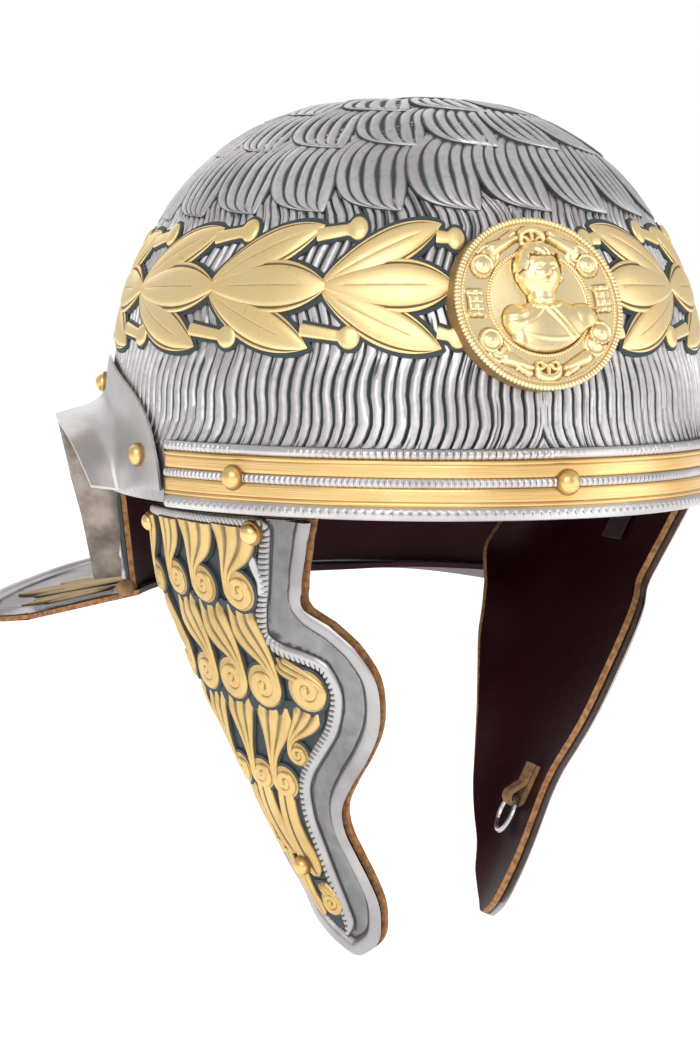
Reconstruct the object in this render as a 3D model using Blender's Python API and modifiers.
"""A roman cavalry helmet: an embossed steel bowl with brass and gilded fittings and two hinged cheek pieces.

Front is -Y, up is +Z and the wearer's right is -X. The origin is the head seat, the inside of the
lining at the crown. Most heights below are measured from the rim and turned into the frame by up().
"""

import math

import bmesh
import bpy
import numpy as np
from mathutils import Matrix, Vector

MM = 0.001
TOUCH = 0.3 * MM                    # gap between pieces that meet

# bowl, measured on its outside at the rim
HALF_LENGTH = 123 * MM
HALF_WIDTH = 103 * MM
BOWL_HEIGHT = 136 * MM
BOWL_POWER = 2.50                   # superellipse exponent of the bowl's profile
STEEL = 1.5 * MM
LEATHER = 2.0 * MM
RIM_Z = -(BOWL_HEIGHT - STEEL - TOUCH - LEATHER)

# nape and neck guard
RING_STEPS = 48
NAPE_STEPS = (4, 20)                # ring steps between which the wall runs down behind the ears
NAPE_DROP = 40 * MM
NAPE_TAPER = 0.96

# brow band
BAND_GAP = 0.6 * MM
BAND_WALL = 1.6 * MM
BAND_HEIGHT = 22 * MM
BAND_FOOT = -1 * MM                 # height of its lower edge from the rim
BAND_ENDS = (197.5, 342.5)          # ellipse angles of its ends, 270 is the front
STRIP_WALL = 0.9 * MM
STRIPS = (("lower", 3, 8.5), ("upper", 11.5, 17.5))     # heights of their edges, in millimetres
RIVET_RADIUS = 3.5 * MM
RIVET_STAND = 0.3 * MM              # clears the facets of the bent strips
RIVET_UP = 10.5 * MM
BAND_RIVETS = (("front", 270.0), ("right", 213.2), ("left", 326.8))

# medallion
EMBLEM_FRONT = 266.4                # ellipse angle that the medallion and the wreath face
MEDALLION_RADIUS = 28 * MM
MEDALLION_HEIGHT = 64 * MM
MEDALLION_WALL = 3.0 * MM
MEDALLION_SIDES = 32
# rings of its face: share of the radius, and how far they stand above or below the plate in millimetres
MEDALLION_RINGS = (
    ("share", "raised"),
    (1.0, 0.0), (0.93, 1.2), (0.88, 0.0), (0.6, 0.2), (0.54, 1.0), (0.5, -0.4), (0.3, -1.0), (0.12, -1.2),
)
BUST_RELIEF = 3.5 * MM
BUST_BODY = (8 * MM, 5 * MM, -8 * MM)           # half width, half height and place up the plate
BUST_HEAD = (5 * MM, 6 * MM, 3 * MM)

# cheek pieces
CHEEK_INSET = 7 * MM                # how far their top hangs inside the rim
CHEEK_TOP = 3 * MM                  # and below it
CHEEK_LEAN = math.radians(14.3)     # inward lean
HEM_STEPS = 4
FLAT_STEPS = 5
LEFT_YAW = math.radians(16.0)       # the left cheek piece hangs askew
LEFT_SWING = math.radians(12.5)
HINGE_LENGTH = 38 * MM
PIN_RADIUS = 1.0 * MM
BARREL_RADIUS = 2.0 * MM
BARREL_BORE = 1.2 * MM
BARREL_SIDES = 16
LEAF_WALL = 1.0 * MM
PIN_DEPTH = 8.4 * MM                # pin inside the cheek piece's outer face, and below its top
PIN_DROP = 1.5 * MM
# out and up from the pin, in millimetres
FIXED_LEAF = ((-1.4, 0.6), (-1.6, 3.6), (-1.6, 8.2), (7.7, 11.0), (7.7, 18.5))
MOVING_LEAF = ((1.3, -0.9), (1.1, -4.3), (-1.7, -14.0))

LOCKS_GAP = 0.6 * MM
LOCKS_WALL = 0.9 * MM
LOCKS_MARGIN = 17 * MM
LOCKS_SECTIONS = slice(1, -4)
LOCKS_HEM = 0.3
# name, drop, how far back and radius, in millimetres
CHEEK_RIVETS = (("front", 4.5, -62, 3.6), ("rear", 5.5, -7, 3.0), ("low", 121, -58, 2.8))

# each row is a section of the right cheek piece, top to tip, in millimetres and degrees:
# drop down the piece, where its front edge is, where its rear hem starts to bend, hem length, hem turn
CHEEK_SECTIONS = (
    ("drop", "front", "bend", "hem", "turn"),
    (0, -83, -11, 27, 75),
    (7, -80.6, -8, 27, 75),
    (24, -76, -3, 27, 75),
    (30, -75.5, -3, 27, 75),
    (35, -82, -6, 27, 75),
    (42, -87.5, -11, 27, 75),
    (52, -91, -16, 27, 75),
    (62, -91, -20.5, 27, 75),
    (72, -89, -27, 27, 75),
    (82, -84.5, -34, 27, 75),
    (92, -78.5, -39.5, 26, 74),
    (100, -74.5, -43.5, 25, 70),
    (108, -74, -47.5, 24, 65),
    (116, -76, -52, 23, 59),
    (125, -78.5, -57.5, 21, 51),
    (134, -80, -63, 18, 40),
    (143, -79, -66, 15.5, 28),
    (150, -77, -68, 11, 16),
    (154.5, -73.5, -68, 5, 5),
)

# ear guard, in millimetres, from its front foot over the ear and down behind it:
# back and height of the hem on the bowl, of the bend, and of the free lip, and how far the lip stands out
EAR_SECTIONS = (
    ("hem_back", "hem_up", "bend_back", "bend_up", "lip_back", "lip_up", "stand"),
    (-33, 4, -3, 2.5, -8, 4.5, 12.5),
    (-30, 15, 4, 13, -3, 14.5, 15.5),
    (-21, 29, 15, 23, 7, 21.5, 17),
    (0, 39, 30, 29.5, 24, 25, 17),
    (40, 47, 44, 30.5, 42, 26, 17),
    (66, 36, 58, 24, 57, 19, 17),
    (80, 20, 69, 8, 70, 4.5, 17),
    (88, 0, 76, -10, 76, -12, 17),
    (91, -18, 79, -25, 78, -26, 17),
    (91, -33, 80, -38, 79, -40, 17),
)
EAR_GAP = 0.9 * MM                  # clears the bowl's facets
EAR_STEPS = 16
EAR_FILLET = 3.5 * MM               # how far out the flange starts to leave the bend
EAR_FILLET_REACH = 0.25             # and its share of the way to the lip
EAR_PLATE_EDGE = 0.22               # share of the plate's width that the row next to the bend takes
EAR_LIFT = STEEL + EAR_GAP           # of its outer face from the bowl
EAR_RIVET_STAND = 0.6 * MM           # clears the facets of the plate
EAR_RIVETS = (("front", -18.0, 15.0), ("rear", 42.0, 37.0))

# neck guard's outer edge, in millimetres: across, back, and down from the rim
NECK_EDGE = (
    ("across", "back", "down"),
    (112, 104, 53),
    (121, 118, 55),
    (126, 134, 56),
    (120, 151, 55),
    (100, 166, 50),
    (70, 174, 43),
    (35, 178, 39.5),
    (0, 179, 38.5),
)

# laurel sprays: angle from the medallion where each spray springs, and its share of full length
SPRAYS = ((38.0, 0.84), (63.0, 0.92), (88.5, 1.0), (114.0, 1.0), (139.0, 0.95), (164.0, 0.92))
SPRAY_MIDDLE = 70 * MM
SPRAY_WALL = 1.2 * MM
# outline of one spray in millimetres, along the bowl towards the front and up, from its base
SPRAY_OUTLINE = (
    ("ahead", "rise"),
    (0, 0), (9, -9), (22, -14), (34, -19), (37, -17), (40, -20), (43, -18), (42, -13),
    (34, -9), (27, -6), (38, -4), (46, 1), (38, 6), (27, 7), (34, 11), (41, 14), (43, 19),
    (40, 21), (36, 18), (33, 20), (20, 16), (8, 10),
)

# neck guard leaves: place of each along the guard, from -1 to 1
NECK_LEAVES = (-0.84, -0.56, -0.28, 0.0, 0.28, 0.56, 0.84)
NECK_LEAF_WIDTH = 24 * MM
NECK_LEAF_ENDS = (0.14, 0.86)        # shares of the way from the nape to the outer edge
NECK_LEAF_STEPS = 6
NECK_LEAF_WALL = 1.0 * MM
NECK_LEAF_GAP = 0.9 * MM
NECK_SPAN_FOOT = 125 * MM            # half the nape's length round its foot, and half the outer edge's
NECK_SPAN_RIM = 185 * MM

RING_RADIUS = 6.5 * MM
RING_WIRE = 1.0 * MM
RING_SIDES = 24
WIRE_SIDES = 8
TAB_WALL = 1.5 * MM
TAB_WIDTH = 6.5 * MM
TAB_LENGTH = 13 * MM
TAB_EYE = 2.6 * MM
TAB_DROP = 102 * MM
TAB_BACK = -62 * MM


def up(height):
    """Height above the rim as a height in the frame."""
    return RIM_Z + height


def columns(table):
    """A table's named columns as arrays, in metres."""
    rows = np.array(table[1:], dtype=float)
    return {name: rows[:, i] * MM for i, name in enumerate(table[0])}


def smooth(values, at):
    """Values at fractional positions along a table's column, on a curve through its rows."""
    at = np.clip(np.asarray(at, dtype=float), 0, len(values) - 1)
    i = np.minimum(at.astype(int), len(values) - 2)
    t = at - i
    padded = np.concatenate([[2 * values[0] - values[1]], values, [2 * values[-1] - values[-2]]])
    a, b, c, d = (padded[i + k] for k in range(4))
    return 0.5 * (2 * b + (c - a) * t + (2 * a - 5 * b + 4 * c - d) * t**2 + (3 * b - a - 3 * c + d) * t**3)


# ---------------------------------------------------------------- scene, materials and small tools

for old in list(bpy.data.objects):
    bpy.data.objects.remove(old)

PARTS = bpy.data.collections.new("roman_cavalry_helmet")
CUTTERS = bpy.data.collections.new("cutters")
for collection in (PARTS, CUTTERS):
    bpy.context.scene.collection.children.link(collection)


def material(name, color, roughness, metallic):
    made = bpy.data.materials.new(name)
    made.use_nodes = True
    shader = made.node_tree.nodes["Principled BSDF"]
    shader.inputs["Base Color"].default_value = (*color, 1)
    shader.inputs["Roughness"].default_value = roughness
    shader.inputs["Metallic"].default_value = metallic
    return made


SILVER = material("steel", (0.62, 0.61, 0.60), 0.32, 1.0)
BRASS = material("brass", (0.80, 0.55, 0.24), 0.30, 1.0)
GILT = material("gilt", (0.90, 0.70, 0.34), 0.35, 1.0)
HIDE = material("leather", (0.09, 0.02, 0.03), 0.45, 0.0)
TAN = material("tan_leather", (0.45, 0.27, 0.13), 0.8, 0.0)


def keep(name, mesh, finish, smooth_angle=30.0):
    """Links a mesh as a named piece with its material."""
    mesh.name = name
    made = bpy.data.objects.new(name, mesh)
    mesh.materials.append(finish)
    mesh.shade_smooth()
    mesh.set_sharp_from_angle(angle=math.radians(smooth_angle))
    PARTS.objects.link(made)
    return made


def grid_mesh(points, closed=False, gap=None):
    """A mesh over rows and columns of points, each cell cut along the same diagonal, with one cell left out
    where a gap gives its number."""
    rows, cols = points.shape[:2]
    index = np.arange(rows * cols).reshape(rows, cols)
    right = np.roll(index, -1, axis=1)
    last = cols if closed else cols - 1
    quads = np.stack([index[:-1, :last], right[:-1, :last], right[1:, :last], index[1:, :last]], axis=-1)
    quads = quads.reshape(-1, 4)
    if gap is not None:
        quads = np.delete(quads, gap, axis=0)
    faces = np.concatenate([quads[:, [0, 1, 2]], quads[:, [0, 2, 3]]])
    mesh = bpy.data.meshes.new("grid")
    mesh.from_pydata(points.reshape(-1, 3).tolist(), [], faces.tolist())
    return mesh


def face_towards(mesh, direction):
    """Turns an open surface round if it faces away from a direction."""
    work = bmesh.new()
    work.from_mesh(mesh)
    facing = sum((f.normal * f.calc_area() for f in work.faces), Vector())
    if facing.dot(Vector(direction)) < 0:
        bmesh.ops.reverse_faces(work, faces=work.faces)
    work.to_mesh(mesh)
    work.free()


def thicken(made, wall, centred=False):
    """Gives an open surface a wall behind it, or half a wall on each side, and cuts it in triangles."""
    shell = made.modifiers.new("wall", "SOLIDIFY")
    shell.thickness = wall
    shell.offset = 0 if centred else -1
    made.modifiers.new("cut", "TRIANGULATE").quad_method = "FIXED"


def sheet(name, points, wall, finish, outward):
    """A wall under a grid of points that are its outer face."""
    mesh = grid_mesh(points)
    face_towards(mesh, outward)
    made = keep(name, mesh, finish)
    thicken(made, wall)
    return made


def grid_normals(points, outward):
    """Unit normals of a grid of points, on the side of the outward direction."""
    along = np.gradient(points, axis=0)
    across = np.gradient(points, axis=1)
    normals = np.cross(along, across)
    normals /= np.linalg.norm(normals, axis=-1, keepdims=True)
    middle = normals[normals.shape[0] // 2, normals.shape[1] // 3]
    return normals if middle @ np.array(outward, dtype=float) > 0 else -normals


def mirrored(points):
    return points * np.array([-1.0, 1.0, 1.0])


def dome(name, place, axis, radius, finish):
    """A rivet head: half a ball with its flat side at a place, standing along an axis."""
    work = bmesh.new()
    bmesh.ops.create_uvsphere(work, u_segments=12, v_segments=8, radius=radius)
    bmesh.ops.bisect_plane(
        work, geom=work.verts[:] + work.edges[:] + work.faces[:], plane_co=(0, 0, 0),
        plane_no=(0, 0, 1), clear_inner=True,
    )
    bmesh.ops.holes_fill(work, edges=[e for e in work.edges if e.is_boundary])
    bmesh.ops.recalc_face_normals(work, faces=work.faces)
    mesh = bpy.data.meshes.new(name)
    work.to_mesh(mesh)
    work.free()
    turn = Vector(axis).to_track_quat("Z", "Y").to_matrix().to_4x4()
    mesh.transform(Matrix.Translation(place) @ turn)
    return keep(name, mesh, finish)


# ---------------------------------------------------------------- bowl, nape and neck guard

def bowl_radius(height):
    """Share of the rim's ellipse that the bowl has at a height."""
    return (1 - np.clip(height / BOWL_HEIGHT, 0, 1) ** BOWL_POWER) ** (1 / BOWL_POWER)


def wall_point(angle, height, outward=0.0):
    """A point on the outside of the bowl or brow: superellipse above the rim, upright below it."""
    angle, height = np.broadcast_arrays(np.asarray(angle, float), np.asarray(height, float))
    share = bowl_radius(height)
    turn = np.radians(angle)
    x = (HALF_WIDTH * share + outward) * np.cos(turn)
    y = (HALF_LENGTH * share + outward) * np.sin(turn)
    return np.stack([x, y, up(height)], axis=-1)


def front_face(across, height, outward=0.0):
    """The point of the bowl's front that has a given offset across and a given height."""
    share = bowl_radius(height)
    reach = np.sqrt(np.maximum(share**2 - (across / HALF_WIDTH) ** 2, 1e-6))
    return np.stack([across, -(HALF_LENGTH * reach + outward), up(height)], axis=-1)


def nape_foot(turn, inset=0.0, share=1.0):
    """A point of the nape's outside, at a share of its drop."""
    taper = 1 - (1 - NAPE_TAPER) * share
    x = (HALF_WIDTH - inset) * taper * np.cos(turn)
    y = (HALF_LENGTH - inset) * taper * np.sin(turn)
    low = np.full_like(np.asarray(turn, float), -NAPE_DROP * share - inset * (share == 1.0))
    return np.stack([x, y, up(low)], axis=-1)


def guard_rim(spread, inset=0.0):
    """A point of the neck guard's outer edge; spread runs from -1 on the wearer's left to 1."""
    edge = columns(NECK_EDGE)
    at = (1 - np.abs(spread)) * (len(edge["across"]) - 1)
    return np.stack([
        -np.sign(spread) * smooth(edge["across"], at),
        smooth(edge["back"], at),
        up(-smooth(edge["down"], at) - inset),
    ], axis=-1)


def guard_point(spread, share, lift):
    """A point of the neck guard's top, between the nape and the outer edge."""
    spread = np.asarray(spread, float)
    first, last = (step * 2 * math.pi / RING_STEPS for step in NAPE_STEPS)
    turn = first + (last - first) * (spread + 1) / 2
    foot = nape_foot(turn)
    return foot + (guard_rim(spread) - foot) * share + [0, 0, lift]


def bowl_surface(inset):
    """Bowl, nape and neck guard as one open surface, moved inwards by an inset."""
    work = bmesh.new()
    half_long, half_wide, tall = HALF_LENGTH - inset, HALF_WIDTH - inset, BOWL_HEIGHT - inset
    turns = np.radians(np.arange(RING_STEPS) * 360.0 / RING_STEPS)
    lifts = np.radians(np.linspace(0, 90, 11)[:-1])
    rings = []
    for lift in lifts:
        share = math.cos(lift) ** (2 / BOWL_POWER)
        height = tall * math.sin(lift) ** (2 / BOWL_POWER)
        rings.append([
            work.verts.new((half_wide * share * math.cos(t), half_long * share * math.sin(t), up(height)))
            for t in turns
        ])
    for low, high in zip(rings, rings[1:]):
        for i in range(RING_STEPS):
            j = (i + 1) % RING_STEPS
            work.faces.new((low[i], low[j], high[j], high[i]))
    crown = work.verts.new((0, 0, up(tall)))
    for i in range(RING_STEPS):
        work.faces.new((rings[-1][i], rings[-1][(i + 1) % RING_STEPS], crown))

    first, last = NAPE_STEPS
    above = rings[0][first:last + 1]
    foot = nape_foot(turns[first:last + 1], inset)
    rim = guard_rim(np.linspace(-1, 1, last - first + 1), inset)
    below = [nape_foot(turns[first:last + 1], inset, share) for share in (1 / 3, 2 / 3)]
    below += [foot + (rim - foot) * share for share in (0.0, 1 / 3, 2 / 3, 1.0)]
    for points in below:
        row = [work.verts.new(p) for p in points]
        for i in range(last - first):
            work.faces.new((row[i], row[i + 1], above[i + 1], above[i]))
        above = row
    mesh = bpy.data.meshes.new("shell")
    bmesh.ops.recalc_face_normals(work, faces=work.faces)
    bmesh.ops.triangulate(work, faces=work.faces[:], quad_method="FIXED")
    work.to_mesh(mesh)
    work.free()
    face_towards(mesh, (0, 0, 1))
    return mesh


def make_bowl():
    thicken(keep("bowl", bowl_surface(0.0), SILVER), STEEL)
    thicken(keep("bowl_lining", bowl_surface(STEEL + TOUCH), HIDE), LEATHER)


# ---------------------------------------------------------------- brow band

def ring_bar(name, inner, outer, low, high, finish, steps=22):
    """A flat bar bent round the brow between two offsets and two heights."""
    angles = np.linspace(*BAND_ENDS, steps + 1)
    corners = ((inner, low), (outer, low), (outer, high), (inner, high))
    edges = [wall_point(angles, 0.0, offset) + [0, 0, height] for offset, height in corners]
    points = np.stack(edges, axis=1)
    mesh = grid_mesh(points, closed=True)
    work = bmesh.new()
    work.from_mesh(mesh)
    bmesh.ops.holes_fill(work, edges=work.edges, sides=4)
    bmesh.ops.recalc_face_normals(work, faces=work.faces)
    work.to_mesh(mesh)
    work.free()
    return keep(name, mesh, finish)


def make_brow_band():
    face = BAND_GAP + BAND_WALL
    ring_bar("brow_band", BAND_GAP, face, BAND_FOOT, BAND_FOOT + BAND_HEIGHT, SILVER)
    for spot, low, high in STRIPS:
        ring_bar(f"brass_strip_{spot}", face + TOUCH, face + TOUCH + STRIP_WALL, low * MM, high * MM, BRASS)
    stand = face + 2 * TOUCH + STRIP_WALL + RIVET_STAND
    for side, angle in BAND_RIVETS:
        place = wall_point(angle, 0.0, stand) + [0, 0, RIVET_UP]
        turn = math.radians(angle)
        axis = (math.cos(turn) / HALF_WIDTH, math.sin(turn) / HALF_LENGTH, 0)
        dome(f"band_rivet_{side}", place, axis, RIVET_RADIUS, BRASS)


# ---------------------------------------------------------------- medallion

def reach_from(across, rise, swelling):
    """Square of the distance from a swelling's middle, in its half width and half height."""
    wide, tall, middle = swelling
    return (across / wide) ** 2 + ((rise - middle) / tall) ** 2


def make_medallion():
    """A round plate whose back follows the bowl and whose front is level, with a rope rim and a bust."""
    centre, above = (wall_point(EMBLEM_FRONT, MEDALLION_HEIGHT + rise) for rise in (0.0, 2 * MM))
    beside = wall_point(EMBLEM_FRONT + 1, MEDALLION_HEIGHT)
    upward = (above - centre) / np.linalg.norm(above - centre)
    sideways = (beside - centre) / np.linalg.norm(beside - centre)
    outward = np.cross(sideways, upward)
    angles = np.radians(np.arange(MEDALLION_SIDES) * 360 / MEDALLION_SIDES)
    rings = np.array(MEDALLION_RINGS[1:])
    across = MEDALLION_RADIUS * rings[:, :1] * np.cos(angles)
    rise = MEDALLION_RADIUS * rings[:, :1] * np.sin(angles)
    body = np.exp(-reach_from(across, rise, BUST_BODY))
    head = np.exp(-reach_from(across, rise, BUST_HEAD) ** 2)
    lift = MEDALLION_WALL + rings[:, 1:] * MM + BUST_RELIEF * np.maximum(head, 0.8 * body)
    flat = centre + across[..., None] * sideways + rise[..., None] * upward
    face = flat + lift[..., None] * outward
    back = front_face(flat[..., 0], flat[..., 2] - RIM_Z, 0.6 * MM)
    points = np.concatenate([back[::-1], face])
    mesh = grid_mesh(points, closed=True)
    work = bmesh.new()
    work.from_mesh(mesh)
    bmesh.ops.holes_fill(work, edges=work.edges, sides=MEDALLION_SIDES)
    bmesh.ops.triangulate(work, faces=[f for f in work.faces if len(f.verts) > 4])
    bmesh.ops.recalc_face_normals(work, faces=work.faces)
    work.to_mesh(mesh)
    work.free()
    return keep("medallion", mesh, GILT)


# ---------------------------------------------------------------- laurel wreath

def fan_mesh(outline, centre, place):
    """A filled outline as two rings and a fan round a centre, each corner moved by place(ahead, rise)."""
    outline = np.array(outline)
    rings = np.concatenate([centre + (outline - centre) * share for share in (1.0, 0.5)] + [[centre]])
    count = len(outline)
    here = np.arange(count)
    after = (here + 1) % count
    faces = [(a, b, count + b) for a, b in zip(here, after)]
    faces += [(a, count + b, count + a) for a, b in zip(here, after)]
    faces += [(count + a, count + b, 2 * count) for a, b in zip(here, after)]
    mesh = bpy.data.meshes.new("outline")
    mesh.from_pydata([place(*p) for p in rings], [], faces)
    return mesh


def make_sprays():
    flat = columns(SPRAY_OUTLINE)
    mean_radius = (HALF_LENGTH + HALF_WIDTH) / 2 * float(bowl_radius(SPRAY_MIDDLE))
    for side, sign in (("right", -1), ("left", 1)):
        for number, (spring, size) in enumerate(SPRAYS, start=1):
            def place(ahead, rise):
                turn = EMBLEM_FRONT + sign * (spring - math.degrees(ahead * size / mean_radius))
                return wall_point(turn, SPRAY_MIDDLE + rise, BAND_GAP + SPRAY_WALL)

            mesh = fan_mesh(np.column_stack([flat["ahead"], flat["rise"]]), np.array([22, 0]) * MM, place)
            turn = math.radians(EMBLEM_FRONT + sign * (spring - 15))
            face_towards(mesh, (math.cos(turn), math.sin(turn), 0.4))
            made = keep(f"leaf_spray_{side}_{number}", mesh, GILT)
            thicken(made, SPRAY_WALL)


# ---------------------------------------------------------------- ear guards

def ear_grid():
    """Grid of the right ear guard's outer face: hem, two rows of plate, bend, two rows of flange, lip."""
    table = columns(EAR_SECTIONS)
    at = np.linspace(0, len(table["hem_up"]) - 1, EAR_STEPS + 1)
    row = {name: smooth(values, at) for name, values in table.items()}
    hem = ear_curve(row["hem_back"], row["hem_up"], EAR_LIFT)
    bend = ear_curve(row["bend_back"], row["bend_up"], EAR_LIFT)
    lip = ear_curve(row["lip_back"], row["lip_up"], (EAR_LIFT + row["stand"])[:, None])
    fillet = ear_curve(row["bend_back"], row["bend_up"], EAR_LIFT + EAR_FILLET)
    fillet += EAR_FILLET_REACH * (lip - fillet)
    near = bend + EAR_PLATE_EDGE * (hem - bend)
    near = ear_curve(near[:, 1], near[:, 2] - RIM_Z, EAR_LIFT)
    middle = (hem + near) / 2
    middle = ear_curve(middle[:, 1], middle[:, 2] - RIM_Z, EAR_LIFT)
    return np.stack([hem, middle, near, fillet, (fillet + lip) / 2, lip], axis=0)


def ear_curve(back, height, lift):
    """Points on the wearer's right of the wall, from how far back and how high they are."""
    taper = 1 - (1 - NAPE_TAPER) * np.clip(-height / NAPE_DROP, 0, 1)
    share = bowl_radius(height) * taper
    side = np.sqrt(np.maximum(1 - (back / (HALF_LENGTH * share)) ** 2, 0))
    wall = np.stack([-HALF_WIDTH * share * side, back, up(height)], axis=-1)
    slope = np.stack([wall[:, 0] / HALF_WIDTH**2, wall[:, 1] / HALF_LENGTH**2, 0 * back], axis=-1)
    return wall + lift * slope / np.linalg.norm(slope, axis=-1, keepdims=True)


def make_ear_guards():
    right = ear_grid()
    for side, points in (("right", right), ("left", mirrored(right))):
        sign = -1 if side == "right" else 1
        sheet(f"ear_guard_{side}", points, STEEL, SILVER, (sign, 0, 0.3))
        for spot, back, height in EAR_RIVETS:
            lift = EAR_LIFT + 2 * TOUCH + EAR_RIVET_STAND
            foot = ear_curve(np.array([back * MM]), np.array([height * MM]), lift)[0]
            tip = ear_curve(np.array([back * MM]), np.array([height * MM]), lift + MM)[0]
            if side == "left":
                foot, tip = mirrored(foot), mirrored(tip)
            dome(f"ear_rivet_{spot}_{side}", foot, tip - foot, RIVET_RADIUS, BRASS)


# ---------------------------------------------------------------- cheek pieces

HINGE_FRONT = np.array([-70.0, -80.0, 0.0]) * MM   # ends of the chord across the top of the right cheek piece
HINGE_REAR = np.array([-95.0, 0.0, 0.0]) * MM
HINGE_ALONG = (HINGE_FRONT - HINGE_REAR) / np.linalg.norm(HINGE_FRONT - HINGE_REAR)
HINGE_OUT = np.array([HINGE_ALONG[1], -HINGE_ALONG[0], 0.0])
LEAN = -HINGE_OUT * math.sin(CHEEK_LEAN) - np.array([0, 0, math.cos(CHEEK_LEAN)])


def cheek_grid(margin=0.0, sections=slice(None), hem_share=1.0):
    """Right cheek piece's outer face: each section follows the rim's ellipse from its front edge, then
    turns inwards along an arc to its rear edge; sections move down along the lean. A margin, a choice of
    sections and a share of the hem leave a border bare."""
    table = columns(CHEEK_SECTIONS)
    half_long, half_wide = HALF_LENGTH - CHEEK_INSET, HALF_WIDTH - CHEEK_INSET
    top = np.array([0, 0, up(-CHEEK_TOP)])
    rows = []
    for drop, front, bend, hem, turn in list(zip(*table.values()))[sections]:
        turn = math.radians(turn / MM)
        back = np.linspace(front + margin, bend, FLAT_STEPS + 1)
        side = -half_wide * np.sqrt(1 - (back / half_long) ** 2)
        normal = math.atan2(-bend / half_long**2, -side[-1] / half_wide**2)
        swept = normal - turn * hem_share * np.linspace(0, 1, HEM_STEPS + 1)[1:]
        bent = np.stack([math.cos(normal) - np.cos(swept), math.sin(normal) - np.sin(swept)], axis=-1)
        arc = hem / turn * bent
        flat = np.stack([side, back], axis=-1)
        plan = np.concatenate([flat, flat[-1] + arc])
        rows.append(np.column_stack([plan, np.zeros(len(plan))]) + top + drop * LEAN)
    return np.array(rows)


def hinge_middle():
    """Middle of the right hinge pin, inside the cheek piece's lining."""
    middle = (HINGE_FRONT + HINGE_REAR) / 2 + [0, 0, up(-CHEEK_TOP - PIN_DROP)]
    top = cheek_grid()[0, :FLAT_STEPS + 1]
    bulge = ((top - middle) @ HINGE_OUT).max()
    return middle + HINGE_OUT * (bulge - PIN_DEPTH)


def left_yaw():
    """The left hinge is turned in about the front corner of the cheek piece."""
    corner = Matrix.Translation((-HINGE_FRONT[0], HINGE_FRONT[1], 0))
    return corner @ Matrix.Rotation(LEFT_YAW, 4, "Z") @ corner.inverted()


def left_swing():
    """The left cheek piece also hangs swung in about its hinge pin."""
    yaw = left_yaw()
    axis = yaw.to_3x3() @ Vector(mirrored(HINGE_ALONG))
    pivot = Matrix.Translation(yaw @ Vector(mirrored(hinge_middle())))
    return pivot @ Matrix.Rotation(-LEFT_SWING, 4, axis) @ pivot.inverted()


def placed(points, side, swung=True):
    """Points of the right cheek piece where this side's piece has them."""
    if side == "right":
        return points
    move = np.array(left_swing() @ left_yaw() if swung else left_yaw())
    return mirrored(points) @ move[:3, :3].T + move[:3, 3]


def cheek_spot(drop, back):
    """A point of the right cheek piece's outer face and its outward direction there."""
    half_long, half_wide = HALF_LENGTH - CHEEK_INSET, HALF_WIDTH - CHEEK_INSET
    side = -half_wide * math.sqrt(1 - (back / half_long) ** 2)
    place = np.array([side, back, up(-CHEEK_TOP)]) + drop * LEAN
    along = np.array([-back * half_wide**2 / (side * half_long**2), 1.0, 0.0])
    outward = np.cross(along, LEAN)
    outward /= np.linalg.norm(outward)
    return place, outward * -np.sign(outward[0])


def tube_mesh(centre, along, start, end, radius, bore):
    """A straight tube round an axis, between two distances from its centre, or a rod if it has no bore."""
    turns = np.radians(np.arange(BARREL_SIDES) * 360 / BARREL_SIDES)
    along = np.array(along)
    side = np.cross(along, [0, 0, 1.0])
    side /= np.linalg.norm(side)
    rise = np.cross(side, along)
    circle = np.cos(turns)[:, None] * side + np.sin(turns)[:, None] * rise
    rings = [centre + radius * circle + along * end, centre + radius * circle + along * start]
    if bore:
        rings += [centre + bore * circle + along * start, centre + bore * circle + along * end]
        rings.append(rings[0])
    mesh = grid_mesh(np.array(rings), closed=True)
    work = bmesh.new()
    work.from_mesh(mesh)
    bmesh.ops.remove_doubles(work, verts=work.verts, dist=0.001 * MM)
    bmesh.ops.holes_fill(work, edges=work.edges, sides=BARREL_SIDES)
    bmesh.ops.recalc_face_normals(work, faces=work.faces)
    work.to_mesh(mesh)
    work.free()
    return mesh


def weld_on(made, mesh, name):
    """Joins a closed mesh to a piece by a union."""
    cutter = bpy.data.objects.new(name, mesh)
    cutter.hide_render = True
    cutter.display_type = "WIRE"
    CUTTERS.objects.link(cutter)
    union = made.modifiers.new(name, "BOOLEAN")
    union.operation = "UNION"
    union.object = cutter


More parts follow.
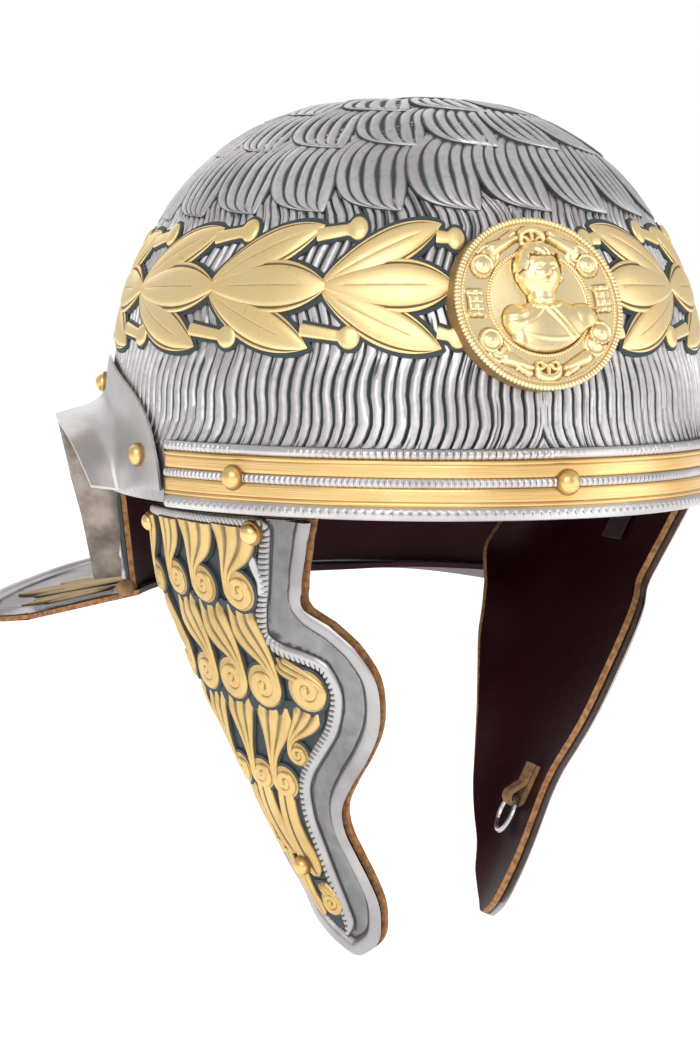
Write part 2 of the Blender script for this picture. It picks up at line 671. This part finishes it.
def make_hinge(side):
    """Cranked leaf on the bowl with two barrels, pin, and the cheek piece's leaf with one barrel."""
    middle = hinge_middle()

    def path(steps):
        return np.array([middle + HINGE_OUT * out * MM + [0, 0, rise * MM] for out, rise in steps])

    def strip(steps, reaches, swung):
        lines = [placed(path(steps) + HINGE_ALONG * reach, side, swung) for reach in reaches]
        return np.stack(lines, axis=1)

    centre_swung = placed(middle[None], side)[0]
    along = placed((middle + HINGE_ALONG)[None], side)[0] - centre_swung
    half = HINGE_LENGTH / 2
    third = HINGE_LENGTH / 6
    reaches = (half, third + TOUCH, -third - TOUCH, -half)
    leaf = strip(FIXED_LEAF, reaches, False)
    upper = np.stack([path(FIXED_LEAF[3:]) + HINGE_ALONG * reach for reach in reaches], axis=1)
    leaf[3:] = upper if side == "right" else mirrored(upper)
    fixed = keep(f"hinge_leaf_{side}", grid_mesh(leaf, gap=1), SILVER)
    thicken(fixed, LEAF_WALL, centred=True)
    for number, (start, end) in enumerate(((-half, -third - TOUCH), (third + TOUCH, half)), start=1):
        mesh = tube_mesh(centre_swung, along, start, end, BARREL_RADIUS, BARREL_BORE)
        weld_on(fixed, mesh, f"barrel_{side}_{number}")
    rod = tube_mesh(centre_swung, along, -half - MM, half + MM, PIN_RADIUS, None)
    keep(f"hinge_pin_{side}", rod, SILVER)
    half = third - TOUCH
    moving = keep(f"cheek_leaf_{side}", grid_mesh(strip(MOVING_LEAF, (half, -half), True)), SILVER)
    thicken(moving, LEAF_WALL, centred=True)
    mesh = tube_mesh(centre_swung, along, -half, half, BARREL_RADIUS, BARREL_BORE)
    weld_on(moving, mesh, f"barrel_{side}_3")


def make_ring_and_tab(side):
    """A leather tab folded round a steel ring, inside the cheek piece near its tip."""
    place, outward = cheek_spot(TAB_DROP, TAB_BACK)
    inward = -outward
    place = place + inward * (STEEL + TOUCH + LEATHER + TOUCH + TAB_WALL / 2)
    down = LEAN
    across = np.cross(down, inward)
    eye = TAB_EYE
    turns = np.radians(np.linspace(-90, 130, 12))
    loop = [(TAB_LENGTH + eye * math.cos(t), eye + eye * math.sin(t)) for t in turns]
    route = [(0, 0), (TAB_LENGTH / 2, 0), *loop, (TAB_LENGTH * 0.55, TAB_WALL + TOUCH), (0, TAB_WALL + TOUCH)]
    line = np.array([place + down * a + inward * b for a, b in route])
    strip = np.stack([line - across * TAB_WIDTH / 2, line + across * TAB_WIDTH / 2], axis=1)
    tab = keep(f"cheek_tab_{side}", grid_mesh(placed(strip, side)), TAN)
    thicken(tab, TAB_WALL, centred=True)
    sag = RING_RADIUS - math.sqrt(RING_RADIUS**2 - (TAB_WIDTH / 2) ** 2)
    centre = place + down * (TAB_LENGTH + RING_RADIUS - sag / 2) + inward * eye
    u = np.radians(np.arange(RING_SIDES) * 360 / RING_SIDES)[:, None]
    v = np.radians(np.arange(WIRE_SIDES) * 360 / WIRE_SIDES)[None]
    reach = (RING_RADIUS + RING_WIRE * np.cos(v))[..., None]
    points = centre + reach * (np.cos(u)[..., None] * down + np.sin(u)[..., None] * across)
    points = points + RING_WIRE * np.sin(v)[..., None] * inward
    points = np.concatenate([points, points[:1]])
    mesh = grid_mesh(placed(points, side), closed=True)
    work = bmesh.new()
    work.from_mesh(mesh)
    bmesh.ops.remove_doubles(work, verts=work.verts, dist=0.001 * MM)
    bmesh.ops.recalc_face_normals(work, faces=work.faces)
    work.to_mesh(mesh)
    work.free()
    keep(f"cheek_ring_{side}", mesh, SILVER)


def make_cheek(side):
    sign = -1 if side == "right" else 1
    facing = (sign, -0.3, 0)
    outer = cheek_grid()
    normals = grid_normals(outer, (-1, -0.3, 0))
    sheet(f"cheek_plate_{side}", placed(outer, side), STEEL, SILVER, facing)
    inner = outer - normals * (STEEL + TOUCH)
    sheet(f"cheek_lining_{side}", placed(inner, side), LEATHER, HIDE, facing)
    field = cheek_grid(margin=LOCKS_MARGIN, sections=LOCKS_SECTIONS, hem_share=LOCKS_HEM)
    field = field + grid_normals(field, (-1, -0.3, 0)) * (LOCKS_GAP + LOCKS_WALL)
    sheet(f"cheek_locks_{side}", placed(field, side), LOCKS_WALL, GILT, facing)
    for spot, drop, back, radius in CHEEK_RIVETS:
        place, outward = cheek_spot(drop * MM, back * MM)
        foot = place + outward * (LOCKS_GAP + LOCKS_WALL + TOUCH)
        ends = placed(np.array([foot, foot + outward]), side)
        dome(f"cheek_rivet_{spot}_{side}", ends[0], ends[1] - ends[0], radius * MM, BRASS)
    make_ring_and_tab(side)
    make_hinge(side)


# ---------------------------------------------------------------- leaves on the neck guard

def make_neck_leaves():
    lengths = np.linspace(*NECK_LEAF_ENDS, NECK_LEAF_STEPS + 1)
    widths = np.sin(np.pi * np.linspace(0.06, 0.97, NECK_LEAF_STEPS + 1)) ** 0.7 * NECK_LEAF_WIDTH / 2
    lift = NECK_LEAF_GAP + NECK_LEAF_WALL
    for number, middle in enumerate(NECK_LEAVES, start=1):
        rows = []
        for share, width in zip(lengths, widths):
            step = width / (NECK_SPAN_FOOT + (NECK_SPAN_RIM - NECK_SPAN_FOOT) * share)
            rows.append([guard_point(middle + side * step, share, lift) for side in (-1, 0, 1)])
        sheet(f"neck_leaf_{number}", np.array(rows), NECK_LEAF_WALL, GILT, (0, 0, 1))


make_bowl()
make_brow_band()
make_medallion()
make_sprays()
make_ear_guards()
for cheek_side in ("right", "left"):
    make_cheek(cheek_side)
make_neck_leaves()
